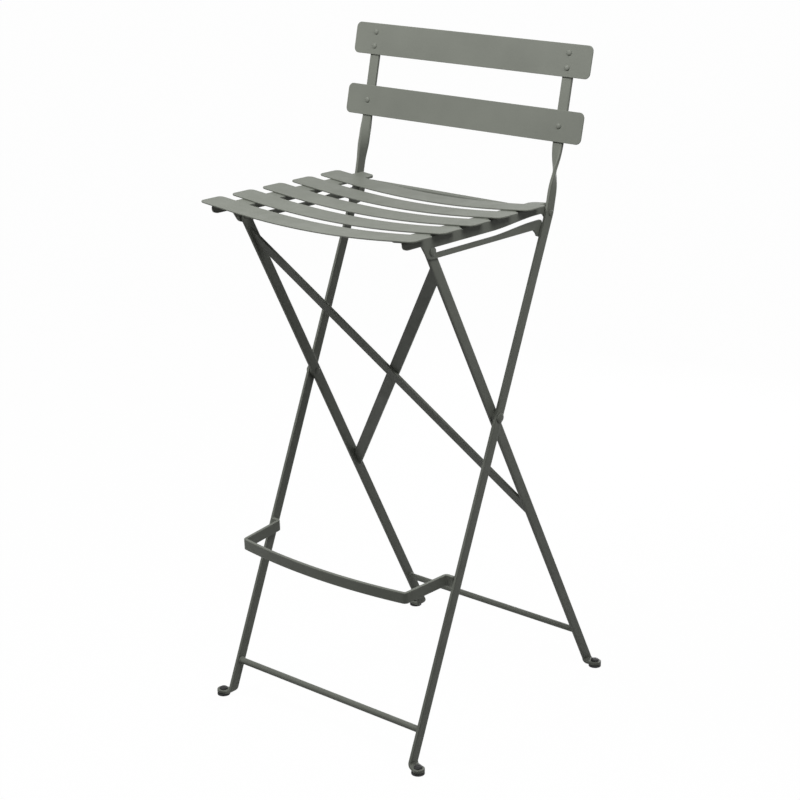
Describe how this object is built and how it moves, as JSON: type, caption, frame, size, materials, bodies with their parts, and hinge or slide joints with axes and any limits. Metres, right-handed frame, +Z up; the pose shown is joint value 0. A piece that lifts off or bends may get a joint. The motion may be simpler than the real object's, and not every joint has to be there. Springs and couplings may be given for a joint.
{
  "type": "folding bar stool",
  "caption": "Folding bar stool in flat steel bar: crossed legs, dished slatted seat on slotted rails, slatted backrest and a bowed footrest.",
  "frame": {"origin": "on the floor, under the middle of the bounding box", "axes": "+Z up, +Y towards the backrest, so the front is -Y; +X to the right as seen from the front"},
  "size_m": [0.422, 0.4604, 0.956],
  "materials": {
    "slat_coat": "satin grey-green powder coat",
    "frame_coat": "satin grey-green powder coat, the same tone",
    "rubber": "matt black"
  },
  "bodies": {
    "frame": {"post_left": "frame_coat", "glide_front_left": "rubber", "leg_pivot_rivet_left": "frame_coat", "pivot_spacer_left": "frame_coat", "back_rivet_top_left_1": "slat_coat", "back_rivet_top_left_2": "slat_coat", "back_rivet_lower_left_1": "slat_coat", "post_right": "frame_coat", "glide_front_right": "rubber", "leg_pivot_rivet_right": "frame_coat", "pivot_spacer_right": "frame_coat", "back_rivet_top_right_1": "slat_coat", "back_rivet_top_right_2": "slat_coat", "back_rivet_lower_right_1": "slat_coat", "backrest_slat_top": "slat_coat", "backrest_slat_lower": "slat_coat", "seat_hinge_rod": "frame_coat", "front_crossbar": "frame_coat", "footrest": "frame_coat"},
    "rear_legs": {"rear_leg_left": "frame_coat", "glide_rear_left": "rubber", "leg_top_rivet_left": "frame_coat", "rear_leg_right": "frame_coat", "glide_rear_right": "rubber", "leg_top_rivet_right": "frame_coat", "brace_falling": "frame_coat", "brace_rising": "frame_coat", "rear_crossbar": "frame_coat"},
    "seat": {"seat_rail_left": "slat_coat", "seat_rail_right": "slat_coat", "seat_slat_1": "slat_coat", "seat_slat_2": "slat_coat", "seat_slat_3": "slat_coat", "seat_slat_4": "slat_coat", "seat_slat_5": "slat_coat"},
    "slot_pins": {"slot_pin_left": "frame_coat", "slot_pin_right": "frame_coat"}
  },
  "joints": [
    {"name": "seat_fold", "type": "hinge", "parent": "frame", "child": "seat", "pos_m": [0, 0.07982, 0.7315], "axis": [-1, 0, 0], "range_deg": [0, 56.4]},
    {"name": "legs_fold", "type": "hinge", "parent": "frame", "child": "rear_legs", "pos_m": [0, -0.02714, 0.4634], "axis": [-1, 0, 0], "range_deg": [0, 47]},
    {"name": "pins_slide", "type": "slide", "parent": "seat", "child": "slot_pins", "axis": [0, 0.9998, 0.0184], "range_m": [0, 0.2309]}
  ],
  "couplings": [
    {"joint": "legs_fold", "follows": "seat_fold", "ratio": 0.8333},
    {"joint": "pins_slide", "follows": "seat_fold", "m_per_rad": 0.2345}
  ]
}
